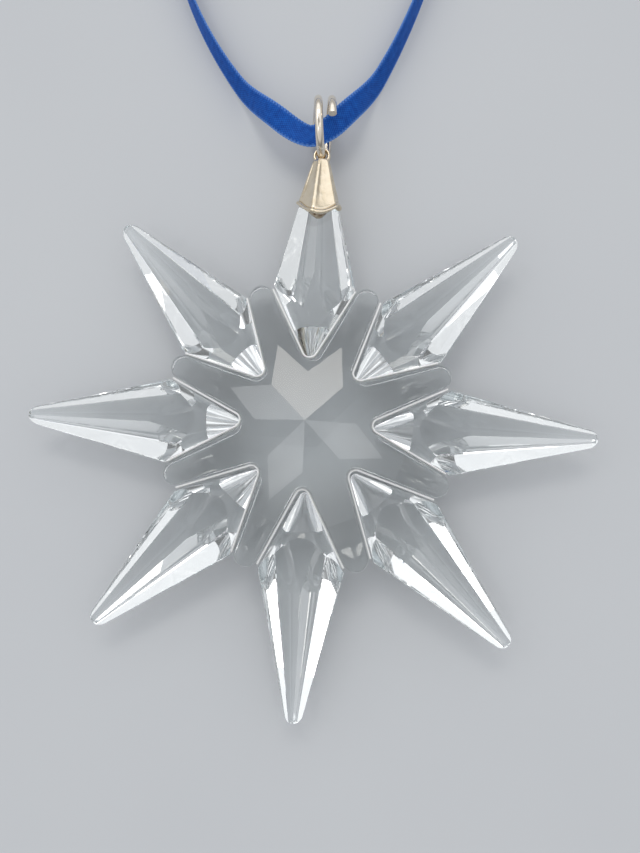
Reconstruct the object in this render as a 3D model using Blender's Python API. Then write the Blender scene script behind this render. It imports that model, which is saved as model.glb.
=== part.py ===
# Crystal star ornament, lying on its back: X to the right, Y towards the hanging ring, Z up.
# The origin is the middle of the flat back of the centre star.
import math

import bmesh
import bpy
from mathutils import Matrix, Vector

MM = 0.001

# Whole star
POINTS = 8
MID_HEIGHT = 3.2 * MM           # from the flat back up to the plane of the tips
TIP_RADIUS = 23.0 * MM

# One kite-shaped point: a long taper to the tip and a round cone at the tail
TIP_BLUNT = 2.5 * MM            # how far the round tip falls short of a sharp one
WAIST_RADIUS = 11.5 * MM        # widest place, from the star's centre
POINT_WIDTH = 6.83 * MM
TAIL_ANGLE = math.radians(27.0)  # half angle of the tail's cone
TAIL_ROUND = 0.4 * MM
TABLE_HEIGHT = 1.71 * MM        # sloping table above the mid plane, at the waist
BEVEL_WIDTH = 1.35 * MM
GIRDLE = 0.7 * MM
BACK_DEPTH = 2.2 * MM
BACK_RIDGE_RADIUS = 13.3 * MM   # inner end of the ridge on the back
CONE_SIDES = 12
TIP_SIDES = 7                   # sides of the round tip
UPPER_ROLL = math.radians(10.0)  # the upper point lies rolled, with its table leaning to the right

# Centre star: eight kite facets on a shallow peak, and eight arms between the points
SEAM = 0.35 * MM                # bond line between a tail and its notch
PEAK_HEIGHT = 4.5 * MM          # above the mid plane
KITE_FALL = 0.24                # fall per unit outwards
KITE_SIDE_RADIUS = 3.85 * MM
KITE_OUTER_RADIUS = 6.5 * MM
ARM_FALL = 0.28
ARM_RADIUS = 12.1 * MM
ARM_BACK_RADIUS = 7.6 * MM      # where the flat back ends and the arms thin out
ARM_BACK_FALL = 0.34
ROUND_STEPS = 12                # sides of one notch bottom or arm end

# Hexagonal cap on the upper point, with an eye at its end
CAP_LENGTH = 4.42 * MM          # mouth, at its sides, to the middle of the eye
CAP_REACH = 1.5 * MM            # the front of the mouth reaches this much further down the stone
CAP_GAP = 0.15 * MM             # bond line between cap and stone
CAP_WALL = 0.22 * MM
CAP_LIP = 0.35 * MM
CAP_LIP_OUT = 0.1 * MM
CAP_HEAD_WIDTH = 1.4 * MM       # across flats at the eye
CAP_TURN = math.radians(-12.0)  # how far the hexagon is turned about the point
EYE_BEYOND_TIP = 0.05 * MM
EYE_WALL = 0.28 * MM
EYE_THICK = 0.9 * MM

# Split ring through the eye
RING_WIRE = 0.7 * MM
RING_RADIUS = 2.4 * MM          # middle of the wire
RING_PITCH = 1.14 * MM
RING_FRONT_END = math.radians(-268.0)
RING_BACK_END = math.radians(267.0)
RING_GAP = 0.12 * MM
WIRE_SIDES = 16

# Ribbon loop through the ring, and its knot
RIBBON_WIDTH = 2.0 * MM
RIBBON_THICK = 0.25 * MM
RIBBON_LEAN = math.radians(80.0)  # legs come to stand on their outer edge
RIBBON_TWIST = 4.6 * MM         # distance from the ring within which half of the lean is reached
RIBBON_FOLD = 4.3 * MM          # how far each leg aims level out of the ring before it turns
RIBBON_SWEEP = 6.2 * MM
LOOP_LENGTH = 58.0 * MM
LOOP_LEFT = 31.0 * MM           # swing of each leg before it comes back to the knot
LOOP_RIGHT = 24.0 * MM
KNOT_LENGTH = 4.4 * MM
KNOT_WIDTH = 3.6 * MM
KNOT_GAP = 0.2 * MM
TAIL_LENGTH = 8.0 * MM
TAIL_SPREAD = 3.6 * MM

STEP = 2.0 * math.pi / POINTS
SHARP_RADIUS = TIP_RADIUS + TIP_BLUNT
TAPER = (POINT_WIDTH / 2.0) / (SHARP_RADIUS - WAIST_RADIUS)
TIP_ANGLE = math.atan(TAPER)
TIP_ROUND = TIP_BLUNT / (1.0 / math.sin(TIP_ANGLE) - 1.0)
TAIL_APEX = WAIST_RADIUS - (POINT_WIDTH / 2.0) / math.tan(TAIL_ANGLE)
NOTCH_APEX = TAIL_APEX - SEAM / math.sin(TAIL_ANGLE)
NOTCH_ROUND = TAIL_ROUND + SEAM
EYE_RADIUS = TIP_RADIUS + EYE_BEYOND_TIP
EYE = Vector((0.0, EYE_RADIUS, MID_HEIGHT))
EYE_HOLE = RING_WIRE / 2.0 + RING_GAP
CAP_MOUTH = EYE_RADIUS - CAP_LENGTH
CAP_SIDE = math.cos(CAP_TURN - math.pi / 3.0) ** 2  # share of the reach at the left side corner
UPPER_END = CAP_MOUTH - CAP_REACH * CAP_SIDE - CAP_GAP
RIBBON_LOW = RIBBON_WIDTH / 2.0 * math.sin(RIBBON_LEAN) + RIBBON_THICK / 2.0
RIBBON_HIGH = MID_HEIGHT - 0.1 * RING_RADIUS
HOOK = Vector((-0.45 * RING_RADIUS, EYE_RADIUS + 0.845 * RING_RADIUS, RIBBON_HIGH))
KNOT = Vector((HOOK.x, HOOK.y + LOOP_LENGTH, RIBBON_LOW))
KNOT_HALF = Vector((KNOT_WIDTH / 2.0, KNOT_LENGTH / 2.0, min(0.4 * KNOT_WIDTH, 0.95 * RIBBON_LOW)))


def material(name, colour, metallic=0.0, roughness=0.2, transmission=0.0):
    made = bpy.data.materials.new(name)
    made.use_nodes = True
    shader = made.node_tree.nodes["Principled BSDF"]
    shader.inputs["Base Color"].default_value = colour + (1.0,)
    shader.inputs["Metallic"].default_value = metallic
    shader.inputs["Roughness"].default_value = roughness
    shader.inputs["Transmission Weight"].default_value = transmission
    return made


def finish(name, shape, stuff, origin=(0.0, 0.0, 0.0)):
    # Closed solid with its faces turned out and its own origin at the given place
    bmesh.ops.recalc_face_normals(shape, faces=shape.faces)
    if shape.calc_volume(signed=True) < 0.0:
        bmesh.ops.reverse_faces(shape, faces=shape.faces)
    bmesh.ops.translate(shape, verts=shape.verts, vec=-Vector(origin))
    mesh = bpy.data.meshes.new(name)
    shape.to_mesh(mesh)
    shape.free()
    mesh.materials.append(stuff)
    made = bpy.data.objects.new(name, mesh)
    made.location = origin
    bpy.context.scene.collection.objects.link(made)
    return made


def prism(outline, low, high):
    # Upright block with the given outline in plan
    shape = bmesh.new()
    floor = [shape.verts.new((x, y, low)) for x, y in outline]
    roof = [shape.verts.new((x, y, high)) for x, y in outline]
    shape.faces.new(list(reversed(floor)))
    shape.faces.new(roof)
    for i in range(len(outline)):
        j = (i + 1) % len(outline)
        shape.faces.new((floor[i], floor[j], roof[j], roof[i]))
    return shape


def loft(rings):
    # Skin over rings of equal count, closed by a flat face at each end
    shape = bmesh.new()
    rows = [[shape.verts.new(p) for p in ring] for ring in rings]
    count = len(rows[0])
    for a, b in zip(rows, rows[1:]):
        for k in range(count):
            m = (k + 1) % count
            shape.faces.new((a[k], a[m], b[m], b[k]))
    shape.faces.new(list(reversed(rows[0])))
    shape.faces.new(rows[-1])
    return shape


def facet(shape, through, normal):
    # Grinds one flat face: what lies beyond the plane goes, and the cut is closed
    cut = bmesh.ops.bisect_plane(
        shape,
        geom=shape.verts[:] + shape.edges[:] + shape.faces[:],
        dist=1e-8,
        plane_co=through,
        plane_no=normal,
        clear_outer=True,
    )
    rim = [e for e in cut["geom_cut"] if isinstance(e, bmesh.types.BMEdge) and e.is_boundary]
    if rim:
        bmesh.ops.holes_fill(shape, edges=rim, sides=0)


def facet_through(shape, a, b, c, inside):
    # Flat face through three places, facing away from a place inside the stone
    normal = (b - a).cross(c - a).normalized()
    if normal.dot(inside - a) > 0.0:
        normal = -normal
    facet(shape, a, normal)


def combine(target, tool, how):
    # Exact Boolean of two objects; the tool goes afterwards
    step = target.modifiers.new(how, "BOOLEAN")
    step.operation = how
    step.solver = "EXACT"
    step.object = tool
    bpy.context.view_layer.update()
    graph = bpy.context.evaluated_depsgraph_get()
    mesh = bpy.data.meshes.new_from_object(target.evaluated_get(graph))
    target.modifiers.clear()
    target.data = mesh
    bpy.data.objects.remove(tool)


def polar(radius, azimuth, height=0.0):
    return Vector((radius * math.cos(azimuth), radius * math.sin(azimuth), height))


def point_stone(name, azimuth, stuff, end=None, roll=0.0):
    # Ground lying along X from the star's centre, with the mid plane at zero, then turned into place
    half = POINT_WIDTH / 2.0
    tip = Vector((SHARP_RADIUS, 0.0, 0.0))
    heart = Vector((WAIST_RADIUS, 0.0, 0.0))
    outline = [(TAIL_APEX, 0.0), (WAIST_RADIUS, -half), (SHARP_RADIUS, 0.0), (WAIST_RADIUS, half)]
    shape = prism(outline, -2.0 * BACK_DEPTH, 3.0 * TABLE_HEIGHT)

    shoulder = Vector((WAIST_RADIUS, 0.0, TABLE_HEIGHT))
    facet_through(shape, tip, tip + Vector((0.0, half, 0.0)), shoulder, heart)
    keel = Vector((BACK_RIDGE_RADIUS, 0.0, -BACK_DEPTH))
    for side in (-half, half):
        rim = Vector((WAIST_RADIUS, side, GIRDLE / 2.0))
        brow = Vector((WAIST_RADIUS, side * (1.0 - BEVEL_WIDTH / half), TABLE_HEIGHT))
        facet_through(shape, tip, rim, brow, heart)
        rim.z = -GIRDLE / 2.0
        facet_through(shape, tip, rim, keel, heart)
    facet(shape, keel, (0.0, 0.0, -1.0))

    for k in range(CONE_SIDES):
        turn = 2.0 * math.pi * k / CONE_SIDES
        out = Vector((0.0, math.cos(turn), math.sin(turn))) * math.cos(TAIL_ANGLE)
        facet(shape, (TAIL_APEX, 0.0, 0.0), out - Vector((math.sin(TAIL_ANGLE), 0.0, 0.0)))
    tail_end = TAIL_APEX + TAIL_ROUND * (1.0 / math.sin(TAIL_ANGLE) - 1.0)
    facet(shape, (tail_end, 0.0, 0.0), (-1.0, 0.0, 0.0))
    if end:
        facet(shape, (end, 0.0, 0.0), (1.0, 0.0, 0.0))
    else:
        middle = Vector((TIP_RADIUS - TIP_ROUND, 0.0, 0.0))
        for k in range(TIP_SIDES):
            out = polar(1.0, (2.0 * (k + 0.5) / TIP_SIDES - 1.0) * (math.pi / 2.0 - TIP_ANGLE))
            facet(shape, middle + out * TIP_ROUND, out)

    turned = Matrix.Rotation(azimuth, 4, "Z") @ Matrix.Rotation(roll, 4, "X")
    place = Matrix.Translation((0.0, 0.0, MID_HEIGHT)) @ turned
    bmesh.ops.transform(shape, matrix=place, verts=shape.verts)
    return finish(name, shape, stuff)


def star_plan():
    # Outline of the centre star: round-bottomed notches and round-ended arms in turn
    lean = TAIL_ANGLE - STEP / 2.0   # each notch wall leans this much towards the arm's middle
    meet = NOTCH_APEX * math.sin(STEP / 2.0) / math.tan(lean) + NOTCH_APEX * math.cos(STEP / 2.0)
    arm_round = (meet - ARM_RADIUS) * math.sin(lean) / (1.0 - math.sin(lean))
    notch_middle = NOTCH_APEX + NOTCH_ROUND / math.sin(TAIL_ANGLE)
    outline = []
    for n in range(POINTS):
        notch = math.pi / 2.0 + n * STEP
        arm = notch + STEP / 2.0
        for k in range(ROUND_STEPS + 1):
            share = 1.0 - 2.0 * k / ROUND_STEPS
            turn = notch + math.pi + share * (math.pi / 2.0 - TAIL_ANGLE)
            outline.append((polar(notch_middle, notch) + polar(NOTCH_ROUND, turn)).xy)
        for k in range(ROUND_STEPS + 1):
            share = 2.0 * k / ROUND_STEPS - 1.0
            turn = arm + share * (math.pi / 2.0 - lean)
            outline.append((polar(ARM_RADIUS - arm_round, arm) + polar(arm_round, turn)).xy)
    return outline


def centre_star(name, stuff):
    # A square block ground facet by facet about the mid plane, then cut to the plan
    wide = 1.5 * ARM_RADIUS
    square = [(-wide, -wide), (wide, -wide), (wide, wide), (-wide, wide)]
    shape = prism(square, -2.0 * MID_HEIGHT, 2.0 * PEAK_HEIGHT)
    heart = Vector((0.0, 0.0, 0.0))
    up = Vector((0.0, 0.0, 1.0))
    outer_height = PEAK_HEIGHT - KITE_FALL * KITE_OUTER_RADIUS
    side_height = PEAK_HEIGHT - KITE_FALL * KITE_SIDE_RADIUS * math.cos(STEP / 2.0)
    for n in range(POINTS):
        arm = math.pi / 2.0 + (n + 0.5) * STEP
        along = polar(1.0, arm)
        facet(shape, up * PEAK_HEIGHT, along * KITE_FALL + up)
        outer = polar(KITE_OUTER_RADIUS, arm, outer_height)
        ridge = outer + along * ARM_RADIUS - up * ARM_FALL * ARM_RADIUS
        for notch in (arm - STEP / 2.0, arm + STEP / 2.0):
            facet_through(shape, outer, ridge, polar(KITE_SIDE_RADIUS, notch, side_height), heart)
        facet(shape, polar(ARM_BACK_RADIUS, arm, -MID_HEIGHT), along * ARM_BACK_FALL - up)
    facet(shape, -up * MID_HEIGHT, -up)
    bmesh.ops.translate(shape, verts=shape.verts, vec=up * MID_HEIGHT)
    star = finish(name, shape, stuff)
    plan = prism(star_plan(), -MID_HEIGHT, 2.0 * MID_HEIGHT + PEAK_HEIGHT)
    combine(star, finish(name + "_plan", plan, stuff), "INTERSECT")
    return star


def hexagon(half_flats, along, reach=0.0):
    # Six corners round the upper point's axis, given half the distance across flats at a place along it.
    # With a reach the front corners lie further down the stone.
    ring = []
    for k in range(6):
        turn = CAP_TURN + k * math.pi / 3.0
        place = along - reach * max(0.0, math.cos(turn)) ** 2
        corner = half_flats(place) / math.cos(math.pi / 6.0)
        ring.append((corner * math.sin(turn), place, MID_HEIGHT + corner * math.cos(turn)))
    return ring


def disc(middle, radius, thick, sides=40):
    # Round upright block about a place
    outline = [(middle + polar(radius, 2.0 * math.pi * k / sides)).xy for k in range(sides)]
    return prism(outline, middle.z - thick / 2.0, middle.z + thick / 2.0)


def cap(name, stuff):
    # Hexagonal pyramid over the stone's end: its side corners stand on the stone's two edges
    edge = (SHARP_RADIUS - CAP_MOUTH) * TAPER
    mouth = (edge + CAP_WALL) * math.cos(math.pi / 6.0)
    head = EYE_RADIUS - EYE_HOLE - 0.2 * EYE_WALL
    taper = (mouth - CAP_HEAD_WIDTH / 2.0) / (head - CAP_MOUTH)

    def outside(along):
        return mouth - (along - CAP_MOUTH) * taper

    def inside(along):
        return outside(along) - CAP_WALL

    def lip(along):
        return outside(along) + CAP_LIP_OUT

    lip_top = CAP_MOUTH + CAP_LIP
    rings = [
        hexagon(inside, CAP_MOUTH + CAP_GAP),
        hexagon(inside, CAP_MOUTH, CAP_REACH),
        hexagon(lip, CAP_MOUTH, CAP_REACH),
        hexagon(lip, lip_top, CAP_REACH),
        hexagon(outside, lip_top, CAP_REACH),
        hexagon(outside, head),
    ]
    made = finish(name, loft(rings), stuff)
    combine(made, finish(name + "_lug", disc(EYE, EYE_HOLE + EYE_WALL, EYE_THICK), stuff), "UNION")
    combine(made, finish(name + "_drill", disc(EYE, EYE_HOLE, 6.0 * EYE_THICK), stuff), "DIFFERENCE")
    return made


def ring_line(turn):
    # Middle of the split ring's wire; turn zero is in the middle of the eye
    across = -RING_PITCH * turn / (2.0 * math.pi)
    return EYE + Vector((across, RING_RADIUS * (1.0 - math.cos(turn)), RING_RADIUS * math.sin(turn)))


def split_ring(name, stuff):
    steps = 92
    turns = [RING_FRONT_END + (RING_BACK_END - RING_FRONT_END) * i / steps for i in range(steps + 1)]
    rings = []
    for turn in turns:
        ahead = (ring_line(turn + 1e-4) - ring_line(turn - 1e-4)).normalized()
        sideways = ahead.cross(Vector((0.0, -math.cos(turn), math.sin(turn)))).normalized()
        outward = sideways.cross(ahead)
        ring = []
        for k in range(WIRE_SIDES):
            angle = 2.0 * math.pi * k / WIRE_SIDES
            reach = outward * math.cos(angle) + sideways * math.sin(angle)
            ring.append(ring_line(turn) + reach * RING_WIRE / 2.0)
        rings.append(ring)
    apart = [(ring_line(a) - ring_line(b)).length for a in turns for b in turns if b - a > math.pi]
    print("split ring: least gap between its turns %.2f mm" % ((min(apart) - RING_WIRE) / MM))
    return finish(name, loft(rings), stuff, origin=EYE)


def ribbon_width_way(ahead, lean):
    # Direction across the ribbon where it runs ahead and leans by an angle
    level = Vector((0.0, 0.0, 1.0)).cross(ahead).normalized()
    return level * math.cos(lean) + ahead.cross(level) * math.sin(lean)


def ribbon_leg(out, back):
    # One leg on a smooth curve from the ring to just short of the knot.
    # The curve leaves the ring towards one handle and comes to the knot from the other.
    a = Vector((HOOK.x, HOOK.y, 0.0))
    d = Vector((KNOT.x, KNOT.y, 0.0))
    b = a + Vector(out)
    c = d + Vector(back)

    def station(t):
        s = 1.0 - t
        place = a * s ** 3 + b * (3.0 * s * s * t) + c * (3.0 * s * t * t) + d * t ** 3
        away = (place - a).length
        sink = min(1.0, max(0.0, away / RING_RADIUS - 1.2) / 2.5)
        sink = sink * sink * (3.0 - 2.0 * sink)
        place.z = RIBBON_HIGH + (RIBBON_LOW - RIBBON_HIGH) * sink
        return place, RIBBON_LEAN * away ** 2 / (away ** 2 + RIBBON_TWIST ** 2)

    def clear_of_knot(t):
        place, lean = station(t)
        ahead = (place - station(t - 0.001)[0]).normalized()
        wide = ribbon_width_way(ahead, lean) * RIBBON_WIDTH / 2.0
        for share in (-1.0, -0.5, 0.0, 0.5, 1.0):
            away = place + wide * share - KNOT
            if sum((away[i] / (KNOT_HALF[i] + KNOT_GAP)) ** 2 for i in range(3)) < 1.0:
                return False
        return True

    last = 1.0
    while not clear_of_knot(last):
        last -= 0.001
    return [station(last * i / 60.0) for i in range(61)]


def band(line, width):
    # Flat band swept along a line of places, each with its lean
    rings = []
    for i, (place, lean) in enumerate(line):
        before = line[max(i - 1, 0)][0]
        after = line[min(i + 1, len(line) - 1)][0]
        ahead = (after - before).normalized()
        wide = ribbon_width_way(ahead, lean)
        w = wide * width / 2.0
        t = ahead.cross(wide) * RIBBON_THICK / 2.0
        rings.append([place - w - t, place + w - t, place + w + t, place - w + t])
    return loft(rings)


def ribbon(name, stuff):
    long = LOOP_LENGTH
    left = ribbon_leg((-RIBBON_FOLD, 0.0, 0.0), (-LOOP_LEFT, -0.51 * long, 0.0))
    right = ribbon_leg((RIBBON_SWEEP, 0.0, 0.0), (LOOP_RIGHT, -0.24 * long, 0.0))
    return finish(name, band(left[:0:-1] + right, RIBBON_WIDTH), stuff)


def knot(name, stuff):
    # Tight lump with the ribbon's two cut ends beyond it
    shape = bmesh.new()
    bmesh.ops.create_uvsphere(shape, u_segments=24, v_segments=14, radius=1.0)
    size = Matrix.Diagonal((*KNOT_HALF, 1.0))
    bmesh.ops.transform(shape, matrix=Matrix.Translation(KNOT) @ size, verts=shape.verts)
    made = finish(name, shape, stuff)
    for side in (-1.0, 1.0):
        tail = []
        for i in range(13):
            t = i / 12.0
            out = side * (0.3 * KNOT_HALF.x + TAIL_SPREAD * t * t)
            ahead = t * (TAIL_LENGTH + KNOT_HALF.y)
            tail.append((KNOT + Vector((out, ahead, side * 0.6 * RIBBON_THICK)), 0.0))
        combine(made, finish(name + "_tail", band(tail, 0.95 * RIBBON_WIDTH), stuff), "UNION")
    return made


def main():
    for old in list(bpy.data.objects):
        bpy.data.objects.remove(old)
    crystal = material("clear_crystal", (0.93, 0.95, 0.97), 0.0, 0.02, 0.9)
    silver = material("silver_plated_metal", (0.78, 0.76, 0.72), 1.0, 0.12)
    blue = material("blue_satin_ribbon", (0.02, 0.09, 0.42), 0.0, 0.6)
    centre_star("centre_star", crystal)
    # The upper point ends at the cap, the others at their round tips
    point_stone("point_1", math.pi / 2.0, crystal, UPPER_END, UPPER_ROLL)
    for n in range(1, POINTS):
        point_stone("point_%d" % (n + 1), math.pi / 2.0 - n * STEP, crystal)
    cap("cap", silver)
    split_ring("split_ring", silver)
    ribbon("ribbon", blue)
    knot("ribbon_knot", blue)


main()
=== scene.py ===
# Looks of a crystal star ornament that lies on its back:
# X to the right, Y towards the hanging ring, Z up.
import math

import bmesh
import bpy
from mathutils import Matrix, Vector


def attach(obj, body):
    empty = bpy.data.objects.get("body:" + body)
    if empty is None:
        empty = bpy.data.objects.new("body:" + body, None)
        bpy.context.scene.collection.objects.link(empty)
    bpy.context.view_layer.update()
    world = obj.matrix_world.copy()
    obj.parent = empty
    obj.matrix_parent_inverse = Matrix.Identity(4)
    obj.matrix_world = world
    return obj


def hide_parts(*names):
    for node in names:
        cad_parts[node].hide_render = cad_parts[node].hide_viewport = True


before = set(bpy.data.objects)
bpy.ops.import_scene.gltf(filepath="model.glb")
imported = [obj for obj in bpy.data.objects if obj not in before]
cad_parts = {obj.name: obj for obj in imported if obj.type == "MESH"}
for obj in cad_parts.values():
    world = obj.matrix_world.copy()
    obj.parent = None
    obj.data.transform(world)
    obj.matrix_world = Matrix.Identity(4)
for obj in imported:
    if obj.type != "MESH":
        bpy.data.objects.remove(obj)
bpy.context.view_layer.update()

MM = 0.001
UP = Vector((0.0, 0.0, 1.0))
ON_PLANE = 1e-9                 # metres: what counts as lying on a grinding plane
WELD = 1e-7                     # metres: corners closer than this become one

# Whole star
POINTS = 8
STEP = 2.0 * math.pi / POINTS
MID_HEIGHT = 3.2 * MM           # plane of the tips above the floor
TIP_RADIUS = 23.0 * MM

# One kite-shaped point
SHARP_RADIUS = 25.5 * MM        # where its faces would meet beyond the round tip
WAIST_RADIUS = 11.5 * MM
HALF_WAIST = 3.415 * MM
TAIL_ANGLE = math.radians(27.0)
TAIL_ROUND = 0.4 * MM
TABLE_HEIGHT = 1.71 * MM
BEVEL_WIDTH = 1.6 * MM
GIRDLE = 0.3 * MM
BACK_DEPTH = 2.2 * MM
BACK_RIDGE_RADIUS = 13.3 * MM
FACET_EDGE = 0.025 * MM         # depth that polishing takes off a facet's edge
BROW_LEAN = (0.4, 0.92)         # way each polished edge looks, outwards and up
RIM_LEAN = (0.92, 0.38)
FOOT_LEAN = (0.86, -0.5)
TAIL_EDGE = 0.05 * MM           # softening where the facets run out on the round tail
TIP_ANGLE = math.atan(HALF_WAIST / (SHARP_RADIUS - WAIST_RADIUS))
TIP_ROUND = (SHARP_RADIUS - TIP_RADIUS) / (1.0 / math.sin(TIP_ANGLE) - 1.0)
UPPER_ROLL = math.radians(10.0)  # the capped stone lies a little rolled in its notch
TAIL_APEX = WAIST_RADIUS - HALF_WAIST / math.tan(TAIL_ANGLE)

# Centre star
SEAM = 0.35 * MM
PEAK_HEIGHT = 4.5 * MM
KITE_FALL = 0.24
KITE_SIDE_RADIUS = 3.85 * MM
KITE_SIDE_HEIGHT = PEAK_HEIGHT - KITE_FALL * KITE_SIDE_RADIUS * math.cos(STEP / 2.0)
KITE_OUTER_RADIUS = 6.5 * MM
ARM_FALL = 0.28
ARM_RADIUS = 12.1 * MM
ARM_BACK_RADIUS = 7.6 * MM
ARM_BACK_FALL = 0.34
RIM_ROUND = 0.15 * MM           # fire-polished rim of the arms and notches
BACK_RIM_ROUND = 0.12 * MM
RIM_FALL = 0.29                 # of the notch's rim, outwards
NOTCH_APEX = TAIL_APEX - SEAM / math.sin(TAIL_ANGLE)
NOTCH_ROUND = TAIL_ROUND + SEAM
BEAD_DEPTH = 0.6 * MM           # middle of the resin bead below the rim of the notch

# Cap, eye and split ring
EYE = Vector((0.0, 23.05 * MM, MID_HEIGHT))
EYE_HOLE = 0.47 * MM
EYE_WALL = 0.28 * MM
EYE_THICK = 0.9 * MM
CAP_MOUTH = 18.63 * MM          # at the sides
CAP_REACH = 1.5 * MM            # further down the stone in front
CAP_GAP = 0.15 * MM
CAP_WALL = 0.22 * MM
CAP_LIP = 0.4 * MM
CAP_LIP_OUT = 0.15 * MM
CAP_HEAD_WIDTH = 1.4 * MM
CAP_DISH = 0.08 * MM            # sides sunk between raised edges
CAP_CORNER = 0.25 * MM          # rounding of the six corners
LIP_CORNER = 0.3 * MM
INNER_CORNER = 0.2 * MM
BOTTOM_CORNER = 0.15 * MM
RESIN_CORE = 0.3 * MM           # half the width that the resin closes to past the stone's end
CAP_TURN = math.radians(-12.0)
CAP_HEAD = EYE.y - EYE_HOLE - 0.2 * EYE_WALL
UPPER_END = 18.337 * MM
RING_WIRE = 0.7 * MM
RING_RADIUS = 2.4 * MM
RING_PITCH = 1.14 * MM
RING_FRONT_END = math.radians(-268.0)
RING_BACK_END = math.radians(267.0)

# Ribbon and knot
RIBBON_WIDTH = 2.0 * MM
RIBBON_THICK = 0.25 * MM
RIBBON_LEAN = math.radians(80.0)
RIBBON_TWIST = 4.6 * MM
RIBBON_FOLD = 4.3 * MM
RIBBON_SWEEP = 6.2 * MM
SINK_START = 1.2                # ring radii from the hook to where the ribbon starts down
SINK_RUN = 2.5                  # ring radii that it takes to reach the floor
LOOP_LENGTH = 58.0 * MM
LOOP_LEFT = 31.0 * MM
LOOP_RIGHT = 24.0 * MM
LEFT_PULL = 0.51                # how far back each leg bends to the knot, as a share of the loop
RIGHT_PULL = 0.24
RIBBON_LOW = RIBBON_WIDTH / 2.0 * math.sin(RIBBON_LEAN) + RIBBON_THICK / 2.0
RIBBON_HIGH = MID_HEIGHT - 0.1 * RING_RADIUS
HOOK = Vector((-0.45 * RING_RADIUS, EYE.y + 0.845 * RING_RADIUS, RIBBON_HIGH))
KNOT = Vector((HOOK.x, HOOK.y + LOOP_LENGTH, RIBBON_LOW))
KNOT_HALF = Vector((1.8 * MM, 2.2 * MM, 0.95 * RIBBON_LOW))
KNOT_GAP = 0.2 * MM
TAIL_LENGTH = 8.0 * MM
TAIL_SPREAD = 3.6 * MM
WEFT_PITCH = 0.3 * MM           # thread turns along the selvedge
WEFT_TURN = 0.075 * MM
WEFT_LENGTH = 0.17 * MM

# Studio: name, azimuth and elevation in degrees, size in metres, brightness, colour
SOFTBOXES = (
    ("far_softbox", 96.0, 54.0, (0.3, 0.12), 4.0, "#FFFAF2"),
    ("left_softbox", 150.0, 53.0, (0.12, 0.12), 1.9, "#FFFFFF"),
    ("near_softbox", -126.0, 63.0, (0.12, 0.12), 1.6, "#FFFFFF"),
    ("right_softbox", -11.0, 65.0, (0.12, 0.12), 1.5, "#FFFFFF"),
)
BOUNCES = 40                    # light is thrown about many times inside a stone


def tone(code):
    # sRGB hex to linear
    parts = [int(code[i:i + 2], 16) / 255.0 for i in (1, 3, 5)]
    line = [p / 12.92 if p <= 0.04045 else ((p + 0.055) / 1.055) ** 2.4 for p in parts]
    return (*line, 1.0)


def grow(tree, kind, inputs=None, **settings):
    # Adds one node with its settings; an input takes a value or another node's socket
    node = tree.nodes.new(kind)
    for name, value in settings.items():
        setattr(node, name, value)
    for name, value in (inputs or {}).items():
        if isinstance(value, bpy.types.NodeSocket):
            tree.links.new(value, node.inputs[name])
        else:
            node.inputs[name].default_value = value
    return node


def finish_of(name, **sockets):
    # New material on a Principled shader, with what is the same all over set on its own sockets
    made = bpy.data.materials.new(name)
    made.use_nodes = True
    shader = made.node_tree.nodes["Principled BSDF"]
    for label, value in sockets.items():
        shader.inputs[label.replace("_", " ")].default_value = value
    return made, made.node_tree, shader


def tint(tree, shader, share, low, high):
    # Base colour that goes from one tone to another with a node's output
    colour = grow(tree, "ShaderNodeMix", {0: share, 6: low, 7: high}, data_type="RGBA")
    tree.links.new(colour.outputs[2], shader.inputs["Base Color"])


def cut_crystal():
    # Clear lead crystal, ground flat and polished with cerium: mirror-smooth facets that bend
    # and throw back the light, and in the glass itself only the faintest veils from the melt
    made, tree, shader = finish_of(
        "lead_crystal_cut_and_polished",
        Transmission_Weight=1.0,
        Roughness=0.0,
        IOR=1.57,
    )
    where = grow(tree, "ShaderNodeTexCoord")
    veils = grow(tree, "ShaderNodeTexNoise", {
        "Vector": where.outputs["Object"],
        "Scale": 1.0 / (5.0 * MM),
        "Detail": 3.0,
        "Distortion": 1.5,
    })
    tint(tree, shader, veils.outputs["Fac"], tone("#F2F6F7"), tone("#FBFDFD"))
    return made


def resin_painted_as_edge_highlight():
    # Resin cured in the seams, painted white and only slightly clear: a bright line that stands in
    # as a painted highlight for the glint along the glass edges, with small bubbles
    made, tree, shader = finish_of(
        "resin_painted_white_as_edge_highlight",
        Transmission_Weight=0.15,
        IOR=1.5,
        Roughness=0.1,
    )
    where = grow(tree, "ShaderNodeTexCoord")
    bubbles = grow(tree, "ShaderNodeTexVoronoi", {
        "Vector": where.outputs["Object"],
        "Scale": 1.0 / (0.35 * MM),
    })
    milk = grow(tree, "ShaderNodeMapRange", {
        "Value": bubbles.outputs["Distance"],
        "From Min": 0.1,
        "From Max": 0.6,
    })
    # Near white base: painted highlight along the seams, varied a little by the bubbles
    tint(tree, shader, milk.outputs["Result"], tone("#FFFFFF"), tone("#FAFBFB"))
    return made


def cap_adhesive():
    # Epoxy cured under the cap: glossy, amber from its hardener, cloudier where it was stirred
    made, tree, shader = finish_of(
        "epoxy_cured_amber",
        Transmission_Weight=0.3,
        IOR=1.53,
        Roughness=0.08,
    )
    where = grow(tree, "ShaderNodeTexCoord")
    clouds = grow(tree, "ShaderNodeTexNoise", {
        "Vector": where.outputs["Object"],
        "Scale": 1.0 / (0.45 * MM),
        "Detail": 3.0,
    })
    depth = grow(tree, "ShaderNodeMapRange", {
        "Value": clouds.outputs["Fac"],
        "From Min": 0.4,
        "From Max": 0.6,
    })
    tint(tree, shader, depth.outputs["Result"], tone("#8E7355"), tone("#E8DBC4"))
    return made


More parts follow.
